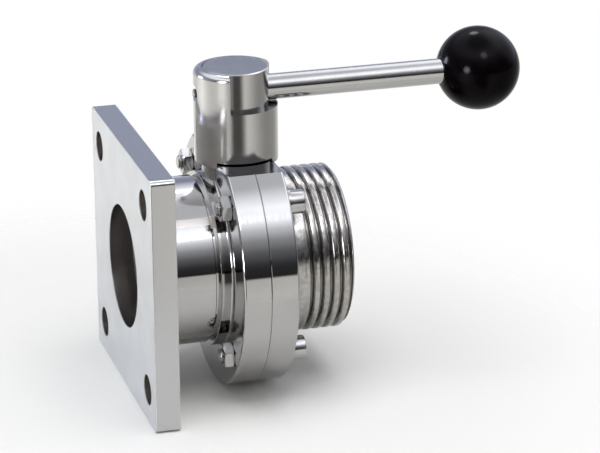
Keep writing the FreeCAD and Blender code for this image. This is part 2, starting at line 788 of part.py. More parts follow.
def makeLeverBush():
    return makeOnLever("lever_bush", [
        (bushBack, "Sizes.spindle_diameter / 2 + Sizes.running_gap"),
        (bushFront, "Sizes.spindle_diameter / 2 + Sizes.running_gap"),
        (bushFront, "Sizes.lever_bore / 2 - Sizes.joint_gap"),
        (bushBack, "Sizes.lever_bore / 2 - Sizes.joint_gap"),
    ])


def makeLeverSpring():
    # the coil's wire has six sides, which keeps its facets few
    body = newBody("lever_spring")
    sketch = newSketch(body, "XZ_Plane")
    wire = "Sizes.spring_wire"
    start = "%s + %s / 2 + Sizes.core_gap" % (pistonFront, wire)
    room = "%s - %s - %s - 2 * Sizes.core_gap" % (bushBack, pistonFront, wire)
    hexagon(sketch, start, "(Sizes.spring_outside - %s) / 2" % wire, wire)
    coil = body.newObject("PartDesign::AdditiveHelix", "Coil")
    coil.Profile = sketch
    coil.ReferenceAxis = (sketch, ["H_Axis"])
    coil.Mode = "pitch-height-angle"
    coil.setExpression("Pitch", "Sizes.spring_pitch")
    coil.setExpression("Height", room)
    document.recompute()
    place(body, x="Sizes.split_plane", z="Sizes.lever_height")
    return body


def makeLeverRod():
    socketFloor = spindleEnd + " + Sizes.core_gap"
    return makeOnLever("lever_rod", [
        (rodStart, "Sizes.spindle_diameter / 2 + Sizes.joint_gap"),
        (rodStart, "Sizes.rod_diameter / 2 - Sizes.core_chamfer"),
        (rodStart + " + Sizes.core_chamfer", "Sizes.rod_diameter / 2"),
        ("Sizes.ball_flat_reach", "Sizes.rod_diameter / 2"),
        ("Sizes.ball_flat_reach", "Sizes.knob_stud / 2"),
        ("Sizes.ball_flat_reach + Sizes.knob_stud_length", "Sizes.knob_stud / 2"),
        ("Sizes.ball_flat_reach + Sizes.knob_stud_length", "0"),
        (socketFloor, "0"),
        (socketFloor, "Sizes.spindle_diameter / 2 + Sizes.joint_gap"),
    ])


def makeKnobInsert():
    end = "Sizes.ball_flat_reach + Sizes.insert_length"
    bore = "Sizes.knob_stud / 2 + Sizes.joint_gap"
    floor = "Sizes.ball_flat_reach + Sizes.knob_stud_length + Sizes.core_gap"
    return makeOnLever("knob_insert", [
        ("Sizes.ball_flat_reach", bore),
        ("Sizes.ball_flat_reach", "Sizes.insert_outside / 2"),
        (end, "Sizes.insert_outside / 2"),
        (end, "0"),
        (floor, "0"),
        (floor, bore),
    ])


def makeBallKnob():
    # a ball with a flat where the lever enters and a moulded-in seat for the insert
    body = newBody("ball_knob")
    sketch = newSketch(body, "XZ_Plane")
    reach = value("Sizes.ball_reach")
    radius = value("Sizes.ball_diameter / 2")
    seatFloor = value("Sizes.ball_flat_reach + Sizes.insert_length + Sizes.joint_gap")
    seatRadius = value("Sizes.insert_outside / 2 + Sizes.joint_gap")
    flatX = value("Sizes.ball_flat_reach")
    flatRadius = value("Sizes.ball_flat / 2")
    whole = Part.Circle(vector(reach, 0), vector(0, 0, 1), radius)
    startAngle = math.atan2(flatRadius, flatX - reach)
    arc = sketch.addGeometry(Part.ArcOfCircle(whole, 0, startAngle))
    spots = [
        vector(flatX, flatRadius), vector(flatX, seatRadius), vector(seatFloor, seatRadius),
        vector(seatFloor, 0), vector(reach + radius, 0),
    ]
    lines = [sketch.addGeometry(Part.LineSegment(a, b)) for a, b in zip(spots, spots[1:])]
    sketch.addConstraint(Sketcher.Constraint("Coincident", arc, 2, lines[0], 1))
    for first, second in zip(lines, lines[1:]):
        sketch.addConstraint(Sketcher.Constraint("Coincident", first, 2, second, 1))
    sketch.addConstraint(Sketcher.Constraint("Coincident", lines[-1], 2, arc, 1))
    pin(sketch, arc, 3, "Sizes.ball_reach", "0")
    index = sketch.addConstraint(Sketcher.Constraint("Radius", arc, radius))
    sketch.setExpression("Constraints[%d]" % index, "Sizes.ball_diameter / 2")
    pin(sketch, lines[1], 1, "Sizes.ball_flat_reach", "Sizes.insert_outside / 2 + Sizes.joint_gap")
    pin(sketch, lines[2], 1, "Sizes.ball_flat_reach + Sizes.insert_length + Sizes.joint_gap",
        "Sizes.insert_outside / 2 + Sizes.joint_gap")
    pin(sketch, lines[3], 1, "Sizes.ball_flat_reach + Sizes.insert_length + Sizes.joint_gap", "0")
    sketch.addConstraint(Sketcher.Constraint("Vertical", lines[0]))
    sketch.addConstraint(Sketcher.Constraint("Horizontal", lines[3]))
    turn(body, sketch, "H_Axis")
    place(body, x="Sizes.split_plane", z="Sizes.lever_height")
    return body


def boltReach(sign=""):
    return "%sSizes.bolt_circle / 2 * cos(45)" % sign


def makeBodyBolts():
    # cap screws: round heads on the thread side, threaded ends past the nuts on the flange side
    body = newBody("CapScrew")
    reach = boltReach()
    seat = "Sizes.face_end + Sizes.washer_thickness"
    tip = "(Sizes.face_start - Sizes.nut_height - Sizes.thread_over_nut)"
    sketch = newSketch(body, "YZ_Plane", seat)
    circle(sketch, reach, reach, "Sizes.head_outside")
    pad(body, sketch, "Sizes.head_height")
    sketch = newSketch(body, "YZ_Plane", seat)
    circle(sketch, reach, reach, "Sizes.bolt_diameter")
    pad(body, sketch, "%s - %s" % (seat, tip), backwards=True)
    tipStation = value(tip)
    topStation = value(seat + " + Sizes.head_height")
    shank = value("Sizes.bolt_diameter / 2")
    head = value("Sizes.head_outside / 2")
    dress(body, "Chamfer", "Sizes.core_chamfer", lambda edge: isCircle(edge, shank, x=tipStation))
    dress(body, "Fillet", "Sizes.core_chamfer", lambda edge: isCircle(edge, head, x=topStation))
    sketch = newSketch(body, "YZ_Plane", seat + " + Sizes.head_height")
    hexagon(sketch, reach, reach, "Sizes.socket_flats", "Sizes.hex_turn")
    pocket(body, sketch, "Sizes.socket_depth")
    return fourOf(body, "body_bolts")


def makeBodyNuts():
    body = newBody("Nut")
    reach = boltReach()
    sketch = newSketch(body, "YZ_Plane", "Sizes.face_start")
    hexagon(sketch, reach, reach, "Sizes.nut_flats", "Sizes.hex_turn")
    circle(sketch, reach, reach, "Sizes.bolt_diameter + 2 * Sizes.joint_gap")
    pad(body, sketch, "Sizes.nut_height", backwards=True)
    return fourOf(body, "body_nuts")


def makeBodyWashers():
    body = newBody("Washer")
    reach = boltReach()
    sketch = newSketch(body, "YZ_Plane", "Sizes.face_end")
    circle(sketch, reach, reach, "Sizes.washer_outside")
    circle(sketch, reach, reach, "Sizes.bolt_hole")
    pad(body, sketch, "Sizes.washer_thickness")
    return fourOf(body, "body_washers")


pieces = [
    makeSquareFlange(),
    makeFlangeStub(),
    makeFlangeSideBody(),
    makeThreadSideBody(),
    makeThreadedEnd(),
    makeSeatSeal(),
    makeBodyBolts(),
    makeBodyNuts(),
    makeBodyWashers(),
    makeValveDisc(),
    makeBush("upper_stem_bush", "Sizes.bush_foot", "Sizes.neck_top"),
    makeBush("lower_stem_bush", "-Sizes.lower_bore_depth", "-Sizes.lower_bush_head"),
    makeSealRing(),
    makeHandleSleeve(),
    makeSleeveScrews(),
    makeHandleCore(),
    makeLeverPlunger(),
    makeLeverSpring(),
    makeLeverBush(),
    makeLeverRod(),
    makeBallKnob(),
    makeKnobInsert(),
]
document.recompute()

for item in document.Objects:
    if "Invalid" in item.State or "Error" in item.State:
        raise RuntimeError("%s failed: %s" % (item.Label, item.State))
for piece in pieces:
    if piece.Shape.isNull() or not piece.Shape.isValid() or not piece.Shape.Solids:
        raise RuntimeError("%s has no valid solid" % piece.Label)

os.makedirs("parts", exist_ok=True)
for piece in pieces:
    piece.Shape.exportStep("parts/%s.step" % piece.Label)
    print("%-20s %2d solids %10.1f mm3" % (piece.Label, len(piece.Shape.Solids), piece.Shape.Volume))
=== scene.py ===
import math

import bmesh
import bpy
from mathutils import Matrix, Vector
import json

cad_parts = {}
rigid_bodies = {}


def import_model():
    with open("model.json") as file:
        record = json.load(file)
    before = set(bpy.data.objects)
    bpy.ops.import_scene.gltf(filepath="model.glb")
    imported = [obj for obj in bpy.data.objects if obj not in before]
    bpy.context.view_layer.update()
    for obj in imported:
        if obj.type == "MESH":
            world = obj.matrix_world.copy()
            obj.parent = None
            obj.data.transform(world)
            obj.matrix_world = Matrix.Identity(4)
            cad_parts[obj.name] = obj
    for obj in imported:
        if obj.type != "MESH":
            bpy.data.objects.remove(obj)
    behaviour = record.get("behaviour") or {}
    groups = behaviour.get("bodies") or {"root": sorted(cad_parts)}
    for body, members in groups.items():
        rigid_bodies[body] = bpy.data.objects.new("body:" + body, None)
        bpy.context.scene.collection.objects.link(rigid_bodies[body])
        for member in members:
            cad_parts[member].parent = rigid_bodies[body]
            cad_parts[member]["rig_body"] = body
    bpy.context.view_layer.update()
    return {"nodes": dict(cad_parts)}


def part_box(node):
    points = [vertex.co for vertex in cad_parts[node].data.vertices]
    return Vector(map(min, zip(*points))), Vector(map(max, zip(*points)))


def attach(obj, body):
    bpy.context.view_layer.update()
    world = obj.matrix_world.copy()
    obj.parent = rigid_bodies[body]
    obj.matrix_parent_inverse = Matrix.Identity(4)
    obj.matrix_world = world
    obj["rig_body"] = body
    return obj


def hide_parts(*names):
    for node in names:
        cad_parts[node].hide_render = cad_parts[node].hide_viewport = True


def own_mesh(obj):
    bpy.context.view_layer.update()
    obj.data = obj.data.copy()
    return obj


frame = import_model()
nodes = frame["nodes"]
scene = bpy.context.scene
scene.view_settings.view_transform = "Standard"
print("frame loaded:", len(nodes), "nodes")

# where the photograph was taken from: place and farthest reach in metres, turns in degrees, lens and
# sensor in millimetres
shot = {
    "place": (-0.24457, -1.12149, 0.42514), "yaw": 15.995, "pitch": 19.622, "roll": -0.470,
    "lens": 175.70, "sensor": 36, "farthest": 200,
}


def setCamera():
    yaw, pitch, roll = (math.radians(shot[name]) for name in ("yaw", "pitch", "roll"))
    ahead = math.cos(pitch)
    forward = Vector((math.sin(yaw) * ahead, math.cos(yaw) * ahead, -math.sin(pitch)))
    level = Vector((math.cos(yaw), -math.sin(yaw), 0))
    lift = level.cross(forward)
    right = level * math.cos(roll) + lift * math.sin(roll)
    up = lift * math.cos(roll) - level * math.sin(roll)
    turned = Matrix((right, up, -forward)).transposed().to_4x4()
    camera = bpy.data.objects.new("camera", bpy.data.cameras.new("camera"))
    camera.matrix_world = Matrix.Translation(shot["place"]) @ turned
    camera.data.sensor_width = shot["sensor"]
    camera.data.lens = shot["lens"]
    camera.data.clip_end = shot["farthest"]
    scene.collection.objects.link(camera)
    scene.camera = camera


setCamera()
print("camera set")


class Wire:
    # one output of a node, so that shader maths reads as an expression
    def __init__(self, paint, socket):
        self.paint = paint
        self.socket = socket

    def __add__(self, other):
        return self.paint.maths("ADD", self, other)

    def __radd__(self, other):
        return self.paint.maths("ADD", other, self)

    def __sub__(self, other):
        return self.paint.maths("SUBTRACT", self, other)

    def __rsub__(self, other):
        return self.paint.maths("SUBTRACT", other, self)

    def __mul__(self, other):
        return self.paint.maths("MULTIPLY", self, other)

    def __rmul__(self, other):
        return self.paint.maths("MULTIPLY", other, self)

    def __pow__(self, other):
        return self.paint.maths("POWER", self, other)


class Paint:
    # the node tree of a material or of the world
    def __init__(self, owner):
        owner.use_nodes = True
        self.tree = owner.node_tree
        self.tree.nodes.clear()

    def add(self, kind, settings=None, sockets=None, output=0):
        node = self.tree.nodes.new(kind)
        for name, setting in (settings or {}).items():
            if name == "stops":
                self.setStops(node.color_ramp, setting)
            else:
                setattr(node, name, setting)
        for name, content in (sockets or {}).items():
            if isinstance(content, Wire):
                self.tree.links.new(content.socket, node.inputs[name])
            else:
                node.inputs[name].default_value = content
        return Wire(self, node.outputs[output]) if len(node.outputs) else None

    def setStops(self, ramp, stops):
        while len(ramp.elements) > 1:
            ramp.elements.remove(ramp.elements[-1])
        for index, (position, colour) in enumerate(stops):
            stop = ramp.elements[0] if index == 0 else ramp.elements.new(position)
            stop.position = position
            stop.color = (*colour, 1)

    def maths(self, operation, first, second=0.0):
        return self.add("ShaderNodeMath", {"operation": operation}, {0: first, 1: second})

    def mix(self, factor, first, second):
        # of this node's sockets, 6 and 7 take the colours and output 2 gives their mix
        return self.add("ShaderNodeMix", {"data_type": "RGBA"}, {0: factor, 6: first, 7: second},
                        output=2)

    def split(self, vector):
        first = self.add("ShaderNodeSeparateXYZ", {}, {0: vector})
        return [Wire(self, socket) for socket in first.socket.node.outputs]

    def noise(self, vector, scale, detail, roughness):
        return self.add("ShaderNodeTexNoise", {}, {
            "Vector": vector, "Scale": scale, "Detail": detail, "Roughness": roughness})

    def ease(self, value, low, high):
        # 0 at low and 1 at high, with a soft start and end
        settings = {"interpolation_type": "SMOOTHSTEP"}
        return self.add("ShaderNodeMapRange", settings, {0: value, 1: low, 2: high})

    def band(self, value, low, high, edge):
        # 1 between low and high and 0 beyond them
        return self.ease(value, low - edge, low + edge) * self.ease(value, high + edge, high - edge)


# the studio: a pale floor, an even white room, and a soft tent that polished metal mirrors
studio = {
    "floorHeight": -0.054,
    "floorReach": 0.27,
    "floorSteps": 96,
    "floorFade": (0.13, 0.26),
    "floorColour": (0.95, 0.95, 0.945),
    "floorRoughness": 0.9,
    "floorGloss": 0.1,
    "roomLevel": 0.45,
    "tentReach": 30.0,
    "tentSteps": (96, 48),
    "tentLevel": 1.9,
    # light of the tent by the height of its panels in degrees, in front of the valve
    "front": [(-90, .33), (-65, .40), (-40, .50), (-20, .60), (-4.4, .56), (-3.6, .30), (-2.8, .02),
              (5, .025), (9, .04), (19, .12), (29, .30), (38, .65), (45, 1.15), (56, 1.25), (65, .88),
              (72, .52), (90, .5)],
    # and behind it
    "back": [(-90, .33), (-60, .5), (-20, .85), (-1, .82), (6, .40), (12, .29), (20, .26), (28, .30),
             (45, .92), (60, .98), (75, .55), (90, .5)],
    # share of the light round the room, below the horizon
    "round": [(-180, 1.1), (-174, 1.0), (-158, 1.0), (-145, 1.5), (-135, 1.4), (-126, .95), (-118, .55),
              (-112, .10), (-90, .10), (-82, .40), (-74, 1.0), (-62, .90), (-46, .68), (-30, .50),
              (-14, .42), (18, .45), (50, .80), (90, .95), (120, 1.0), (140, 1.5), (154, 1.75),
              (170, 1.25), (180, 1.1)],
    "rampTop": 2.0,  # the ramps hold each level as a share of this
    "frontHeading": -74,
    # how the parts of the tent go over into each other, by the heading's share forward or up
    "backBlend": (0.5, -0.7),
    "horizonBlend": (0.0, -0.01),
    "deepBlend": (-0.95, -0.6),
    "skyBlend": (0.68, 0.45),
    # round lights that show on the ball knob and the steel: heading, height and half width in degrees,
    # and level
    "spots": [(-139, 7.5, 7, 32), (-85, 49, 7, 13), (147, 8, 6, 24), (81, 53, 6, 14),
              (20, 32, 30, 1.0)],
    "spotEdge": (1.4, 0.6),  # where a spot starts and is full, as shares of its half width
    "coolTint": (0.955, 0.975, 1.05),
    "backTint": (0.87, 0.95, 1.22),
    "warmTint": (1.01, 1.0, 0.965),
}


def stageObject(name, bm):
    mesh = bpy.data.meshes.new(name)
    bm.to_mesh(mesh)
    bm.free()
    thing = bpy.data.objects.new(name, mesh)
    scene.collection.objects.link(thing)
    return thing


def stageMaterial(thing, name):
    material = bpy.data.materials.new(name)
    thing.data.materials.append(material)
    return material


def makeRoom():
    world = bpy.data.worlds.new("room")
    scene.world = world
    paint = Paint(world)
    rays = ("Is Camera Ray", "Is Glossy Ray", "Is Transmission Ray")
    camera, glossy, through = (paint.add("ShaderNodeLightPath", output=ray) for ray in rays)
    plain = paint.maths("MAXIMUM", camera, paint.maths("MAXIMUM", glossy, through))
    strength = studio["roomLevel"] + plain * (1 - studio["roomLevel"])
    light = paint.add("ShaderNodeBackground", {}, {"Color": (1, 1, 1, 1), "Strength": strength})
    paint.add("ShaderNodeOutputWorld", {}, {"Surface": light})
    world.cycles_visibility.glossy = False  # metal mirrors the tent instead of the bare room


def makeFloor():
    bm = bmesh.new()
    bmesh.ops.create_circle(bm, cap_ends=True, segments=studio["floorSteps"],
                            radius=studio["floorReach"])
    bmesh.ops.translate(bm, verts=bm.verts, vec=(0, 0, studio["floorHeight"]))
    floor = stageObject("floor", bm)
    paint = Paint(stageMaterial(floor, "floorPaint"))
    sheet = paint.add("ShaderNodeBsdfPrincipled", {}, {
        "Base Color": (*studio["floorColour"], 1), "Roughness": studio["floorRoughness"],
        "Specular IOR Level": studio["floorGloss"]})
    x, y, z = paint.split(paint.add("ShaderNodeTexCoord", output="Object"))
    fade = paint.ease((x * x + y * y) ** 0.5, *studio["floorFade"])
    gone = paint.add("ShaderNodeBsdfTransparent")
    surface = paint.add("ShaderNodeMixShader", {}, {0: fade, 1: sheet, 2: gone})
    paint.add("ShaderNodeOutputMaterial", {}, {"Surface": surface})


def tentLevels(paint, pairs, span, wire):
    # light levels over an angle, which the wire gives as 0 to 1 of the span
    stops = [(position / span + 0.5, (level / studio["rampTop"],) * 3) for position, level in pairs]
    return paint.add("ShaderNodeValToRGB", {"stops": stops}, {0: wire}) * studio["rampTop"]


def makeTent():
    bm = bmesh.new()
    around, upwards = studio["tentSteps"]
    bmesh.ops.create_uvsphere(bm, u_segments=around, v_segments=upwards, radius=studio["tentReach"])
    bmesh.ops.reverse_faces(bm, faces=bm.faces)
    tent = stageObject("tent", bm)
    for ray in ("camera", "diffuse", "transmission", "volume_scatter", "shadow"):  # only mirrors show it
        setattr(tent, "visible_" + ray, False)
    material = stageMaterial(tent, "tentCloth")
    material.cycles.emission_sampling = "NONE"
    paint = Paint(material)
    place = paint.add("ShaderNodeTexCoord", output="Object")
    heading = paint.add("ShaderNodeVectorMath", {"operation": "NORMALIZE"}, {0: place})
    x, y, z = paint.split(heading)
    height = paint.maths("ARCSINE", z) * (1 / math.pi) + 0.5
    turned = paint.maths("ARCTAN2", y, x) * (0.5 / math.pi) + 0.5
    front = tentLevels(paint, studio["front"], 180, height)
    back = tentLevels(paint, studio["back"], 180, height)
    ring = tentLevels(paint, studio["round"], 360, turned)
    frontAngle = math.radians(studio["frontHeading"])
    forward = x * math.cos(frontAngle) + y * math.sin(frontAngle)
    behind = paint.ease(forward, *studio["backBlend"])
    below = paint.ease(z, *studio["horizonBlend"])
    deep = paint.ease(z, *studio["deepBlend"])
    upper = front + (back - front) * behind
    lower = front * (1 + (ring - 1) * deep)
    level = upper + (lower - upper) * below
    for turn, lift, width, glow in studio["spots"]:
        turn, lift = math.radians(turn), math.radians(lift)
        aim = (math.cos(lift) * math.cos(turn), math.cos(lift) * math.sin(turn), math.sin(lift))
        near = paint.add("ShaderNodeVectorMath", {"operation": "DOT_PRODUCT"}, {0: heading, 1: aim},
                         output="Value")
        start, full = (math.cos(math.radians(width * share)) for share in studio["spotEdge"])
        level = level + paint.ease(near, start, full) * (glow / studio["tentLevel"])
    cool = behind * paint.ease(z, *studio["skyBlend"])
    sky = paint.mix(cool, (*studio["coolTint"], 1), (*studio["backTint"], 1))
    colour = paint.mix(below, sky, (*studio["warmTint"], 1))
    shine = paint.add("ShaderNodeVectorMath", {"operation": "SCALE"}, {0: colour, "Scale": level})
    light = paint.add("ShaderNodeEmission", {}, {"Color": shine, "Strength": studio["tentLevel"]})
    paint.add("ShaderNodeOutputMaterial", {}, {"Surface": light})


# soft lamp: places and size in metres, power in watts
overheadLamp = {"place": (0.08, -0.25, 1.45), "aim": (0.08, 0, 0.02), "size": 1.5, "power": 15.5}


def makeLamp():
    setting = overheadLamp
    lamp = bpy.data.objects.new("overheadLamp", bpy.data.lights.new("overheadLamp", "AREA"))
    lamp.data.shape = "DISK"
    lamp.data.size = setting["size"]
    lamp.data.energy = setting["power"]
    place = Vector(setting["place"])
    aim = (Vector(setting["aim"]) - place).to_track_quat("-Z", "Y")
    lamp.matrix_world = Matrix.Translation(place) @ aim.to_matrix().to_4x4()
    lamp.visible_glossy = False  # the tent already shows its light in the metal
    scene.collection.objects.link(lamp)


makeRoom()
makeFloor()
makeTent()
makeLamp()
print("studio built")

# where the pipe, the stem and the lever have their axes, taken from the frame
stemX = (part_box("handle_core")[0].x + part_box("handle_core")[1].x) / 2
leverZ = (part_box("lever_rod")[0].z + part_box("lever_rod")[1].z) / 2
pipeAxis = {"centre": (0, 0, 0), "turn": (0, -math.pi / 2, 0)}
stemAxis = {"centre": (stemX, 0, 0), "turn": (0, 0, 0)}
leverAxis = {"centre": (stemX, 0, leverZ), "turn": (0, -math.pi / 2, 0)}

# what the finishes share; the first four give the detail and roughness of a noise
texture = {
    "lines": (3.0, 0.6), "smudges": (4.0, 0.55), "grain": (3.0, 0.6), "clouds": (3.0, 0.5),
    "span": (0.35, 0.65),  # the part of a noise that goes from dark to pale
    "lineShare": 0.05,  # how much the brushed lines change the roughness
    "zoneEdge": 0.0001,  # half the width of a zone's soft edge
}

# every metal of the valve; lengths in metres, lines and clouds per metre; a zone lies from low to high
# along the axis, and has its reach across it
finishes = {
    "polishedSteel": {
        "pale": (0.43, 0.425, 0.415), "dark": (0.41, 0.405, 0.40), "roughness": 0.05,
        "smudge": 0.03, "clouds": 60, "axis": pipeAxis, "lines": 9000, "depth": 0.000005,
        "zones": {
            "bore": {"low": 0.0100, "high": 0.0375, "reach": (-1, 0.0262),
                     "roughness": 0.38, "colour": (0.46, 0.43, 0.40)},
        },
    },
    "flangeSteel": {
        "pale": (0.565, 0.57, 0.555), "dark": (0.515, 0.52, 0.505), "roughness": 0.46,
        "smudge": 0.05, "clouds": 60, "axis": pipeAxis, "lines": 3000, "depth": 0.0000012,
        "zones": {
            # the plate's outer edge faces: smoother, and their darker colour is painted shade
            "outer": {"low": 0.0003, "high": 0.0101, "reach": (0.0536, 1),
                      "roughness": 0.16, "colour": (0.50, 0.50, 0.50)},
            # the walls of the bore and bolt holes through the plate: rougher, and their darker colour is
            # painted shade in the holes
            "holes": {"low": 0.0003, "high": 0.0101, "reach": (-1, 0.0536),
                      "roughness": 0.26, "colour": (0.38, 0.35, 0.33)},
            # the plate's back face: rough, and its pale colour is painted light, brighter than the rest
            # of the plate
            "back": {"low": 0.0102, "high": 0.0110, "reach": (-1, 1),
                     "roughness": 0.7, "colour": (0.80, 0.77, 0.72)},
        },
    },
    "sleeveSteel": {
        "pale": (0.43, 0.425, 0.415), "dark": (0.41, 0.405, 0.40), "roughness": 0.15,
        "smudge": 0.03, "clouds": 60, "axis": stemAxis, "lines": 5000, "depth": 0.000012,
    },
    "leverSteel": {
        "pale": (0.43, 0.425, 0.415), "dark": (0.41, 0.405, 0.40), "roughness": 0.12,
        "smudge": 0.03, "clouds": 60, "axis": leverAxis, "lines": 7000, "depth": 0.0000015,
    },
    "fastenerSteel": {
        "pale": (0.45, 0.445, 0.435), "dark": (0.38, 0.375, 0.37), "roughness": 0.14,
        "smudge": 0.06, "clouds": 60, "axis": pipeAxis, "lines": 4000, "depth": 0.0000015,
    },
    "threadSteel": {
        "pale": (0.44, 0.43, 0.415), "dark": (0.34, 0.325, 0.305), "roughness": 0.19,
        "smudge": 0.08, "clouds": 420, "axis": pipeAxis, "lines": 9000, "depth": 0.000003,
        # valleys: painted shade, the thread's colour darker towards its roots
        "valleys": {"deep": 0.0331, "clear": 0.0338, "colour": (0.28, 0.265, 0.245)},
    },
    "springSteel": {
        "pale": (0.62, 0.62, 0.62), "dark": (0.5, 0.5, 0.5), "roughness": 0.3,
        "smudge": 0.08, "clouds": 60, "axis": leverAxis, "lines": 4000, "depth": 0.0000015,
    },
    "insertBrass": {
        "pale": (0.80, 0.62, 0.30), "dark": (0.68, 0.50, 0.24), "roughness": 0.3,
        "smudge": 0.08, "clouds": 60, "axis": leverAxis, "lines": 4000, "depth": 0.0000015,
    },
}


def metal(name):
    setting = finishes[name]
    material = bpy.data.materials.new(name)
    paint = Paint(material)
    place = paint.add("ShaderNodeTexCoord", output="Object")
    moved = paint.add("ShaderNodeVectorMath", {"operation": "SUBTRACT"},
                      {0: place, 1: setting["axis"]["centre"]})
    placed = paint.add("ShaderNodeMapping", {}, {"Vector": moved, "Rotation": setting["axis"]["turn"]})
    x, y, z = paint.split(placed)
    radius = (x * x + y * y) ** 0.5
    groove = paint.add("ShaderNodeCombineXYZ", {}, {0: radius, 1: z})
    lines = paint.noise(groove, setting["lines"], *texture["lines"])
    smudges = paint.noise(placed, setting["clouds"], *texture["smudges"])
    clouds = paint.ease(smudges, *texture["span"])
    colour = paint.mix(clouds, (*setting["dark"], 1), (*setting["pale"], 1))
    cloudy = setting["roughness"] + (clouds - 0.5) * setting["smudge"]
    roughness = cloudy + (lines - 0.5) * texture["lineShare"]
    for zone in setting.get("zones", {}).values():  # a finish of its own, along and across the axis; on the plate's edges and holes its colour is painted shade, and on its back painted light
        outer = paint.maths("MAXIMUM", paint.maths("ABSOLUTE", x), paint.maths("ABSOLUTE", y))
        inZone = (paint.band(z, zone["low"], zone["high"], texture["zoneEdge"])
                  * paint.band(outer, *zone["reach"], texture["zoneEdge"]))
        roughness = roughness + (zone["roughness"] - roughness) * inZone
        colour = paint.mix(inZone, colour, (*zone["colour"], 1))
    if "valleys" in setting:  # painted shade, darker between the crests
        valleys = setting["valleys"]
        paintedValleyShade = paint.ease(radius, valleys["clear"], valleys["deep"])
        colour = paint.mix(paintedValleyShade, colour, (*valleys["colour"], 1))
    bump = paint.add("ShaderNodeBump", {}, {"Height": lines, "Distance": setting["depth"]})
    surface = paint.add("ShaderNodeBsdfPrincipled", {}, {
        "Base Color": colour, "Metallic": 1.0, "Roughness": roughness, "Normal": bump})
    paint.add("ShaderNodeOutputMaterial", {}, {"Surface": surface})
    return material


# rubber and plastic; depth in metres, grain and clouds per metre
plastics = {
    "sealRubber": {
        "pale": (0.035, 0.035, 0.037), "dark": (0.022, 0.022, 0.023), "roughness": 0.55,
        "smudge": 0.06, "clouds": 90, "grain": 2500, "depth": 0.00001, "gloss": 0.4,
    },
    "bearingPlastic": {
        "pale": (0.75, 0.73, 0.68), "dark": (0.66, 0.64, 0.58), "roughness": 0.45,
        "smudge": 0.06, "clouds": 90, "grain": 1800, "depth": 0.000006, "gloss": 0.5,
    },
    "knobPlastic": {
        "pale": (0.004, 0.002, 0.003), "dark": (0.002, 0.001, 0.002), "roughness": 0.15,
        "smudge": 0.06, "clouds": 90, "grain": 900, "depth": 0.000003, "gloss": 0.05,
    },
}


def plastic(name):
    setting = plastics[name]
    material = bpy.data.materials.new(name)
    paint = Paint(material)
    place = paint.add("ShaderNodeTexCoord", output="Object")
    grain = paint.noise(place, setting["grain"], *texture["grain"])
    smudges = paint.noise(place, setting["clouds"], *texture["clouds"])
    clouds = paint.ease(smudges, *texture["span"])
    colour = paint.mix(clouds, (*setting["dark"], 1), (*setting["pale"], 1))
    roughness = setting["roughness"] + (clouds - 0.5) * setting["smudge"]
    bump = paint.add("ShaderNodeBump", {}, {"Height": grain, "Distance": setting["depth"]})
    surface = paint.add("ShaderNodeBsdfPrincipled", {}, {
        "Base Color": colour, "Roughness": roughness, "Normal": bump,
        "Specular IOR Level": setting["gloss"]})
    paint.add("ShaderNodeOutputMaterial", {}, {"Surface": surface})
    return material


finish = {name: metal(name) for name in finishes}
finish.update({name: plastic(name) for name in plastics})
print("materials made:", len(finish))

# how near, in metres, counts as the same place when edges are joined or cut
tolerance = {"thread": 0.000004, "join": 0.000002, "cut": 0.000001, "fineCut": 0.0000001}


def chain(bm, points):
    # vertices joined by edges, in the plane of the pipe axis and the height
    verts = [bm.verts.new((x, 0, z)) for x, z in points]
    for first, second in zip(verts, verts[1:]):
        bm.edges.new((first, second))
    return verts


def vertsIn(made):
    return [item for item in made if isinstance(item, bmesh.types.BMVert)]


def bend(bm, vert, centre, degrees, steps):
    # an arc from the vertex round a centre in the same plane; gives the arc's last vertex
    made = bmesh.ops.spin(bm, geom=[vert], cent=(centre[0], 0, centre[1]), axis=(0, -1, 0),
                          angle=math.radians(degrees), steps=steps)
    return vertsIn(made["geom_last"])[0]


def rotate(bm, verts, angle, axis):
    # about one of the axes through the origin, by an angle in radians
    bmesh.ops.rotate(bm, verts=verts, cent=(0, 0, 0), matrix=Matrix.Rotation(angle, 3, axis))


def turnRound(bm, steps):
    # a full turn of what is drawn so far about the pipe axis
    bmesh.ops.spin(bm, geom=bm.verts[:] + bm.edges[:], cent=(0, 0, 0), axis=(1, 0, 0), angle=2 * math.pi,
                   steps=steps, use_merge=True)
    bmesh.ops.remove_doubles(bm, verts=bm.verts, dist=tolerance["join"])


def openEdges(bm, x):
    # the open edges in one plane across the pipe axis
    return [edge for edge in bm.edges if len(edge.link_faces) < 2
            and all(abs(vert.co.x - x) < tolerance["join"] for vert in edge.verts)]


def rimOf(bm, verts):
    # the open edges between these vertices
    return [edge for edge in bm.edges if edge.is_boundary and all(vert in verts for vert in edge.verts)]


def joinInto(bm, other):
    # the shapes of the second bmesh go into the first
    mesh = bpy.data.meshes.new("part")
    other.to_mesh(mesh)
    other.free()
    bm.from_mesh(mesh)
    bpy.data.meshes.remove(mesh)


def finishPiece(name, bm, finishName, node, sharp=35, body=None):
    bmesh.ops.remove_doubles(bm, verts=bm.verts, dist=tolerance["join"])
    bmesh.ops.recalc_face_normals(bm, faces=bm.faces)
    openCount = sum(1 for edge in bm.edges if not edge.is_manifold)
    mesh = bpy.data.meshes.new(name)
    bm.to_mesh(mesh)
    bm.free()
    mesh.shade_smooth()
    mesh.set_sharp_from_angle(angle=math.radians(sharp))
    piece = bpy.data.objects.new(name, mesh)
    scene.collection.objects.link(piece)
    mesh.materials.append(finish[finishName])
    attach(piece, body or nodes[node]["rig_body"])
    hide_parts(node)
    print("piece made:", name, len(mesh.polygons), "faces", openCount, "open edges")
    return piece


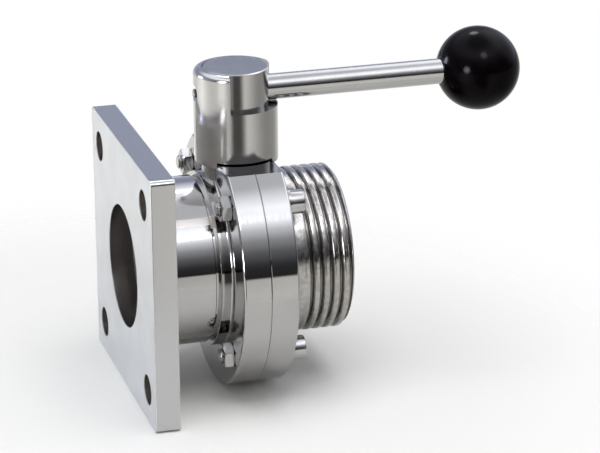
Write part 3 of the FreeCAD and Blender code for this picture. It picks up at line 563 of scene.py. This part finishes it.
def screwThread(setting):
    # the skin of a thread: one pitch of its profile, from valley to valley, swept along the helix
    pitch, depth, crest = setting["pitch"], setting["depth"], setting["crest"]
    over, under = setting["crestRound"], setting["rootRound"]
    lean = math.radians(setting["flank"])
    sweep, steps = 90 - setting["flank"], setting["arcSteps"]
    slope = (depth - (over + under) * (1 - math.sin(lean))) * math.tan(lean)
    land = pitch / 2 - (over + under) * math.cos(lean) - slope
    bm = bmesh.new()
    root = crest - depth
    start = bm.verts.new((-pitch / 2, 0, root))
    low = bend(bm, start, (-pitch / 2, root + under), sweep, steps)
    left, right = chain(bm, [(-land, crest), (land, crest)])
    rise = bend(bm, left, (-land, crest - over), sweep, steps)
    fall = bend(bm, right, (land, crest - over), -sweep, steps)
    end = bm.verts.new((pitch / 2, 0, root))
    high = bend(bm, end, (pitch / 2, root + under), -sweep, steps)
    bm.edges.new((low, rise))
    bm.edges.new((fall, high))
    # the profile stands straight up, at 90 degrees from the valve's far side, and starts a turn or two
    # too early, so that it reaches past both ends
    lead = (setting["crestAngle"] - 90) / 360 * pitch
    turns = math.ceil((setting["to"] - setting["from"]) / pitch) + 3
    first = setting["crestX"] - lead
    first -= (math.ceil((first - setting["from"]) / pitch) + 1) * pitch
    bmesh.ops.translate(bm, verts=bm.verts, vec=(first, 0, 0))
    bmesh.ops.spin(bm, geom=bm.verts[:] + bm.edges[:], cent=(0, 0, 0), axis=(1, 0, 0),
                   dvec=(pitch / setting["turnSteps"], 0, 0), angle=2 * math.pi * turns,
                   steps=turns * setting["turnSteps"], use_merge=False)
    bmesh.ops.remove_doubles(bm, verts=bm.verts, dist=tolerance["thread"])
    # the thread fades out into a plain cylinder, has a chamfer at its end and is cut to length
    fadeFrom, fadeTo = setting["fade"]
    for vert in bm.verts:
        x = vert.co.x
        radius = math.hypot(vert.co.y, vert.co.z)
        share = min(max((x - fadeFrom) / (fadeTo - fadeFrom), 0), 1)
        wanted = crest - (crest - radius) * share * share * (3 - 2 * share)
        wanted = min(wanted, crest - max(x - setting["to"] + setting["chamfer"], 0))
        vert.co.y *= wanted / radius
        vert.co.z *= wanted / radius
    for place, direction in ((setting["from"], -1), (setting["to"], 1)):
        bmesh.ops.bisect_plane(bm, geom=bm.verts[:] + bm.edges[:] + bm.faces[:], dist=tolerance["cut"],
                               plane_co=(place, 0, 0), plane_no=(direction, 0, 0), clear_outer=True)
    return bm


# male end: a round thread of the kind used on dairy and brewery pipe unions, with a recess for its
# gasket; lengths in metres, angles in degrees
threadedEnd = {
    "from": 0.0613, "to": 0.0907, "crest": 0.035, "depth": 0.0021, "pitch": 0.004233, "flank": 15,
    "crestRound": 0.0011, "rootRound": 0.00035, "arcSteps": 5, "turnSteps": 96, "crestX": 0.07105,
    "crestAngle": 249.3, "fade": (0.0684, 0.0712), "chamfer": 0.0016,
    "seat": 0.0573, "spigot": 0.030, "bore": 0.026, "recess": 0.030, "recessDepth": 0.0025,
    "edge": 0.0003,
}


def makeThreadedEnd():
    setting = threadedEnd
    bm = screwThread(setting)
    edge = setting["edge"]
    floor = setting["to"] - setting["recessDepth"]
    inside = bmesh.new()
    chain(inside, [
        (setting["from"], setting["spigot"]),
        (setting["seat"], setting["spigot"]),
        (setting["seat"], setting["bore"]),
        (floor - edge, setting["bore"]),
        (floor, setting["bore"] + edge),
        (floor, setting["recess"] - edge),
        (floor + edge, setting["recess"]),
        (setting["to"] - edge, setting["recess"]),
        (setting["to"], setting["recess"] + edge),
    ])
    turnRound(inside, setting["turnSteps"])
    joinInto(bm, inside)
    for place in (setting["from"], setting["to"]):
        bmesh.ops.triangle_fill(bm, edges=openEdges(bm, place), use_beauty=True, normal=(1, 0, 0))
    finishPiece("threadedEnd", bm, "threadSteel", "threaded_end", sharp=50)


# four cap screws and their nuts; lengths in metres, turns in degrees
bodyScrews = {
    "reach": 0.0321,
    # the side and height of each screw, and how its hexagons are turned
    "corners": {(-1, 1): 157.6, (-1, -1): 214, (1, 1): 21, (1, -1): 336},
    "seat": 0.0629, "head": 0.005, "headHeight": 0.006, "headRound": 0.0006, "headRoundSteps": 5,
    "underEdge": 0.0002, "headSteps": 48, "socketCorner": 0.00289, "socketDepth": 0.003,
    "socketEdge": 0.0003, "socketTurn": 17, "drillDepth": 0.0006,
    "shank": 0.003, "threadTo": 0.0479, "tip": 0.0319,
    "nutFace": 0.0379, "nutHeight": 0.0044, "nutFlats": 0.010, "nutHole": 0.0031, "nutEdge": 0.0003,
    "nutSteps": 24, "nutChamfer": 30, "chamferReach": 0.95, "chamferCuts": 24,
    "thread": {
        "depth": 0.00055, "pitch": 0.001, "flank": 30, "crestRound": 0.0001, "rootRound": 0.0001,
        "arcSteps": 1, "turnSteps": 24, "crest": 0.003, "crestX": -0.0350, "crestAngle": 0,
        "fade": (-0.0479, -0.0459), "chamfer": 0.0006,
    },
}


def makeCapScrews():
    setting = bodyScrews
    seat, head, edge = setting["seat"], setting["head"], setting["headRound"]
    socket = setting["socketCorner"]
    top = seat + setting["headHeight"]
    lip = top - setting["socketEdge"]
    screws = bmesh.new()
    for (side, lift), corner in setting["corners"].items():
        # head, with a round for the edge
        bm = bmesh.new()
        brow = chain(bm, [
            (seat, setting["shank"]),
            (seat, head - setting["underEdge"]),
            (seat + setting["underEdge"], head),
            (top - edge, head),
        ])[-1]
        crown = bend(bm, brow, (top - edge, head - edge), -90, setting["headRoundSteps"])
        mouth = chain(bm, [(top, socket + setting["socketEdge"]), (lip, socket)])[0]
        bm.edges.new((crown, mouth))
        turnRound(bm, setting["headSteps"])
        # sunk hexagon, with a drill's cone for its floor
        hexagon = bmesh.ops.create_circle(bm, segments=6, radius=socket)["verts"]
        rotate(bm, hexagon, math.pi / 2, "Y")
        rotate(bm, hexagon, math.radians(corner + setting["socketTurn"]), "X")
        bmesh.ops.translate(bm, verts=hexagon, vec=(lip, 0, 0))
        bmesh.ops.bridge_loops(bm, edges=openEdges(bm, lip))
        sunk = vertsIn(bmesh.ops.extrude_edge_only(bm, edges=rimOf(bm, hexagon))["geom"])
        bmesh.ops.translate(bm, verts=sunk, vec=(-setting["socketDepth"], 0, 0))
        drilled = vertsIn(bmesh.ops.extrude_edge_only(bm, edges=rimOf(bm, sunk))["geom"])
        deepest = lip - setting["socketDepth"] - setting["drillDepth"]
        bmesh.ops.pointmerge(bm, verts=drilled, merge_co=(deepest, 0, 0))
        # shank and its thread, which ends past the nut
        thread = screwThread({**setting["thread"], "from": -setting["threadTo"], "to": -setting["tip"]})
        rotate(thread, thread.verts, math.pi, "Z")
        bmesh.ops.holes_fill(thread, edges=openEdges(thread, setting["tip"]))
        joinInto(bm, thread)
        bmesh.ops.bridge_loops(bm, edges=openEdges(bm, setting["threadTo"]) + openEdges(bm, seat))
        middle = (0, side * setting["reach"], lift * setting["reach"])
        bmesh.ops.translate(bm, verts=bm.verts, vec=middle)
        joinInto(screws, bm)
    finishPiece("capScrews", screws, "fastenerSteel", "body_bolts")


def makeHexNuts():
    setting = bodyScrews
    half, flat, hole = setting["nutHeight"] / 2, setting["nutFlats"] / 2, setting["nutHole"]
    wide, edge = flat / math.cos(math.pi / 6), setting["nutEdge"]
    lean, cuts = math.radians(setting["nutChamfer"]), setting["chamferCuts"]
    nuts = bmesh.new()
    for (side, lift), corner in setting["corners"].items():
        bm = bmesh.new()
        bmesh.ops.create_cone(bm, cap_ends=True, segments=6, radius1=wide, radius2=wide, depth=2 * half)
        rotate(bm, bm.verts, math.pi / 2, "Y")
        bm.verts.ensure_lookup_table()
        now = math.atan2(bm.verts[0].co.z, bm.verts[0].co.y)
        rotate(bm, bm.verts, math.radians(corner) - now, "X")
        # the corners are turned off on both ends
        for end in (-1, 1):
            for step in range(cuts):
                turn = 2 * math.pi * step / cuts
                outward = Vector((0, math.cos(turn), math.sin(turn)))
                cut = bmesh.ops.bisect_plane(
                    bm, geom=bm.verts[:] + bm.edges[:] + bm.faces[:], dist=tolerance["fineCut"],
                    plane_co=Vector((end * half, 0, 0)) + outward * flat * setting["chamferReach"],
                    plane_no=Vector((end * math.cos(lean), 0, 0)) + outward * math.sin(lean),
                    clear_outer=True)["geom_cut"]
                edges = [item for item in cut if isinstance(item, bmesh.types.BMEdge)]
                loop = [item for item in edges if len(item.link_faces) < 2]
                if len(loop) > 2:
                    bmesh.ops.contextual_create(bm, geom=loop)
        # the flat ends open for the hole
        ends = [face for face in bm.faces
                if abs(abs(face.calc_center_median().x) - half) < tolerance["cut"]]
        bmesh.ops.delete(bm, geom=ends, context="FACES")
        bore = bmesh.new()
        chain(bore, [
            (-half, hole + edge),
            (-half + edge, hole),
            (half - edge, hole),
            (half, hole + edge),
        ])
        turnRound(bore, setting["nutSteps"])
        joinInto(bm, bore)
        for place in (-half, half):
            bmesh.ops.bridge_loops(bm, edges=openEdges(bm, place))
        middle = (setting["nutFace"] - half, side * setting["reach"], lift * setting["reach"])
        bmesh.ops.translate(bm, verts=bm.verts, vec=middle)
        joinInto(nuts, bm)
    finishPiece("hexNuts", nuts, "fastenerSteel", "body_nuts", sharp=25)


# coil spring with closed ends, between the plunger's piston and the bush; lengths in metres
coilSpring = {
    "from": 0.0442, "to": 0.0552, "outside": 0.0088, "wire": 0.0009, "gap": 0.00005, "openTurns": 3,
    "closedPitch": 1.02,  # in wire diameters
    "turnSteps": 28, "wireSides": 10, "pulled": 0.005,
}


def makeCoilSpring():
    setting = coilSpring
    half, steps = setting["wire"] / 2, setting["turnSteps"]
    first = setting["from"] + setting["gap"] + half
    bm = bmesh.new()
    made = bmesh.ops.create_circle(bm, cap_ends=False, segments=setting["wireSides"], radius=half)
    ring = made["verts"]
    rotate(bm, ring, math.pi / 2, "X")
    bmesh.ops.translate(bm, verts=ring, vec=(first, 0, leverZ + setting["outside"] / 2 - half))
    closed = setting["wire"] * setting["closedPitch"]
    wide = (setting["to"] - setting["gap"] - half - first - 2 * closed) / setting["openTurns"]
    end = bm.verts[:] + bm.edges[:]
    for pitch, turns in ((closed, 1), (wide, setting["openTurns"]), (closed, 1)):
        made = bmesh.ops.spin(bm, geom=end, cent=(0, 0, leverZ), axis=(1, 0, 0),
                              dvec=(pitch / steps, 0, 0), angle=2 * math.pi * turns,
                              steps=steps * turns, use_merge=False)
        end = [item for item in made["geom_last"] if not isinstance(item, bmesh.types.BMFace)]
    bmesh.ops.holes_fill(bm, edges=[edge for edge in bm.edges if edge.is_boundary])
    # it rides with the bush
    piece = finishPiece("coilSpring", bm, "springSteel", "lever_spring", sharp=60,
                        body=nodes["lever_bush"]["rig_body"])
    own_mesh(piece)


makeThreadedEnd()
makeCapScrews()
makeHexNuts()
makeCoilSpring()

finishOfNode = {
    "square_flange": "flangeSteel",
    "flange_stub": "polishedSteel",
    "flange_side_body": "polishedSteel",
    "thread_side_body": "polishedSteel",
    "threaded_end": "polishedSteel",
    "seat_seal": "sealRubber",
    "body_bolts": "fastenerSteel",
    "body_nuts": "fastenerSteel",
    "body_washers": "fastenerSteel",
    "valve_disc": "polishedSteel",
    "upper_stem_bush": "bearingPlastic",
    "lower_stem_bush": "bearingPlastic",
    "stem_seal_ring": "sealRubber",
    "handle_sleeve": "sleeveSteel",
    "sleeve_screws": "fastenerSteel",
    "handle_core": "sleeveSteel",
    "lever_plunger": "leverSteel",
    "lever_spring": "springSteel",
    "lever_bush": "bearingPlastic",
    "lever_rod": "leverSteel",
    "ball_knob": "knobPlastic",
    "knob_insert": "insertBrass",
}
for name, node in nodes.items():
    node.data.materials.clear()
    node.data.materials.append(finish[finishOfNode[name]])
print("nodes painted:", len(nodes))
